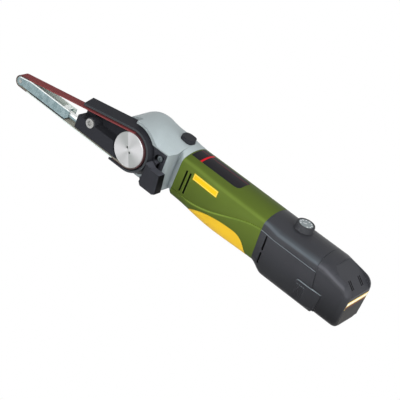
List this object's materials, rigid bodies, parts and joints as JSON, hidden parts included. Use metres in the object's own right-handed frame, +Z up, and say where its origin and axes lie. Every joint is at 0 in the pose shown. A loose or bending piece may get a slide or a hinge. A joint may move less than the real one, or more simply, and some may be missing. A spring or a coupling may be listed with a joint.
{
  "type": "power_file",
  "caption": "Cordless power file with a narrow abrasive belt on a swivelling sprung arm, drive wheel, green and dark grey handle, speed dial and slide-off battery.",
  "frame": {"origin": "centre of the drive wheel's outer face, on the spindle axis", "axes": "+X along the handle from the wheel to the battery, -Y out of the wheel's face, +Z up to the side of the dial"},
  "size_m": [0.3683, 0.0554, 0.0554],
  "materials": {
    "green_shell": "fine moulded texture",
    "yellow_grip": "smooth soft rubber",
    "dark_shell": "fine moulded texture",
    "die_cast": "satin cast",
    "turned": "turned face",
    "black_part": "satin black",
    "black_plastic": "smooth",
    "steel": "bright",
    "galvanised": "galvanised sheet",
    "abrasive": "abrasive cloth",
    "copper_iron": "laminated",
    "board_green": "circuit board",
    "cell_wrap": "shrink wrap",
    "dial_face": "light grey"
  },
  "bodies": {
    "tool": {"gear_head": "die_cast", "bearing_plate": "die_cast", "plate_screws": "steel", "front_bearing": "steel", "rear_bearing": "steel", "shaft_bearing": "steel", "swivel_ring": "steel", "guard": "black_part", "motor_can": "steel", "upper_shell": "green_shell", "lower_shell": "green_shell", "soft_grip": "yellow_grip", "rear_upper_shell": "dark_shell", "rear_lower_shell": "dark_shell", "housing_screws": "steel", "circuit_board": "board_green", "switch_body": "black_plastic", "contact_block": "black_plastic", "potentiometer": "black_plastic", "lock_spring": "steel"},
    "drive": {"drive_wheel": "turned", "spindle": "steel", "crown_gear": "steel"},
    "motor": {"pinion": "steel", "motor_shaft": "steel", "motor_rotor": "copper_iron", "cooling_fan": "black_plastic"},
    "carrier": {"belt_carrier": "black_part", "tension_spring": "steel", "sanding_belt": "abrasive"},
    "blade_arm": {"blade": "galvanised", "platen_pad": "black_plastic", "tension_rod": "steel", "roller_pin": "steel"},
    "roller": {"tip_roller": "steel"},
    "tracking": {"tracking_screw": "steel"},
    "clamp": {"clamp_screw": "steel"},
    "lock": {"lock_button": "black_plastic", "lock_pin": "steel"},
    "slider": {"switch_slider": "black_plastic"},
    "dial": {"speed_dial": "dark_shell", "dial_plate": "dial_face"},
    "battery": {"battery_case": "dark_shell", "battery_cells": "cell_wrap"},
    "latch_left": {"battery_latch_left": "dark_shell"},
    "latch_right": {"battery_latch_right": "dark_shell"}
  },
  "joints": [
    {"name": "spindle_spin", "type": "hinge", "parent": "tool", "child": "drive", "pos_m": [0, 0, 0], "axis": [0, 1, 0], "continuous": true},
    {"name": "motor_spin", "type": "hinge", "parent": "tool", "child": "motor", "pos_m": [0.08, 0.0306, 0], "axis": [1, 0, 0], "continuous": true},
    {"name": "carrier_swivel", "type": "hinge", "parent": "tool", "child": "carrier", "pos_m": [0, 0.012, 0], "axis": [0, 1, 0], "range_deg": [-60, 0]},
    {"name": "blade_slide", "type": "slide", "parent": "carrier", "child": "blade_arm", "axis": [1, 0, 0], "range_m": [0, 0.007], "stiffness_N_per_m": 1500, "springref_m": -0.006, "deforming": ["tension_spring", "sanding_belt"]},
    {"name": "roller_spin", "type": "hinge", "parent": "blade_arm", "child": "roller", "pos_m": [-0.1318, 0.0054, -0.0115], "axis": [0, 1, 0], "continuous": true},
    {"name": "tracking_turn", "type": "hinge", "parent": "carrier", "child": "tracking", "pos_m": [-0.0456, 0.005, -0.0019], "axis": [0, 1, 0], "range_deg": [-180, 180]},
    {"name": "clamp_turn", "type": "hinge", "parent": "tool", "child": "clamp", "pos_m": [0.0284, 0.009, 0.0078], "axis": [0, 1, 0], "range_deg": [-180, 180]},
    {"name": "lock_press", "type": "slide", "parent": "tool", "child": "lock", "axis": [0, 0, -1], "range_m": [0, 0.003], "stiffness_N_per_m": 400, "springref_m": -0.003, "deforming": ["lock_spring"]},
    {"name": "switch_slide", "type": "slide", "parent": "tool", "child": "slider", "axis": [1, 0, 0], "range_m": [0, 0.006]},
    {"name": "dial_turn", "type": "hinge", "parent": "tool", "child": "dial", "pos_m": [0.1634, 0.0306, 0.024], "axis": [0, 0, 1], "range_deg": [-135, 135]},
    {"name": "battery_slide", "type": "slide", "parent": "tool", "child": "battery", "axis": [1, 0, 0], "range_m": [0, 0.06]},
    {"name": "latch_left_press", "type": "slide", "parent": "battery", "child": "latch_left", "axis": [0, 1, 0], "range_m": [0, 0.0012], "stiffness_N_per_m": 800, "springref_m": -0.0012},
    {"name": "latch_right_press", "type": "slide", "parent": "battery", "child": "latch_right", "axis": [0, -1, 0], "range_m": [0, 0.0012], "stiffness_N_per_m": 800, "springref_m": -0.0012}
  ],
  "couplings": [
    {"joint": "motor_spin", "follows": "spindle_spin", "ratio": -3},
    {"joint": "roller_spin", "follows": "spindle_spin", "ratio": 3.5556}
  ]
}
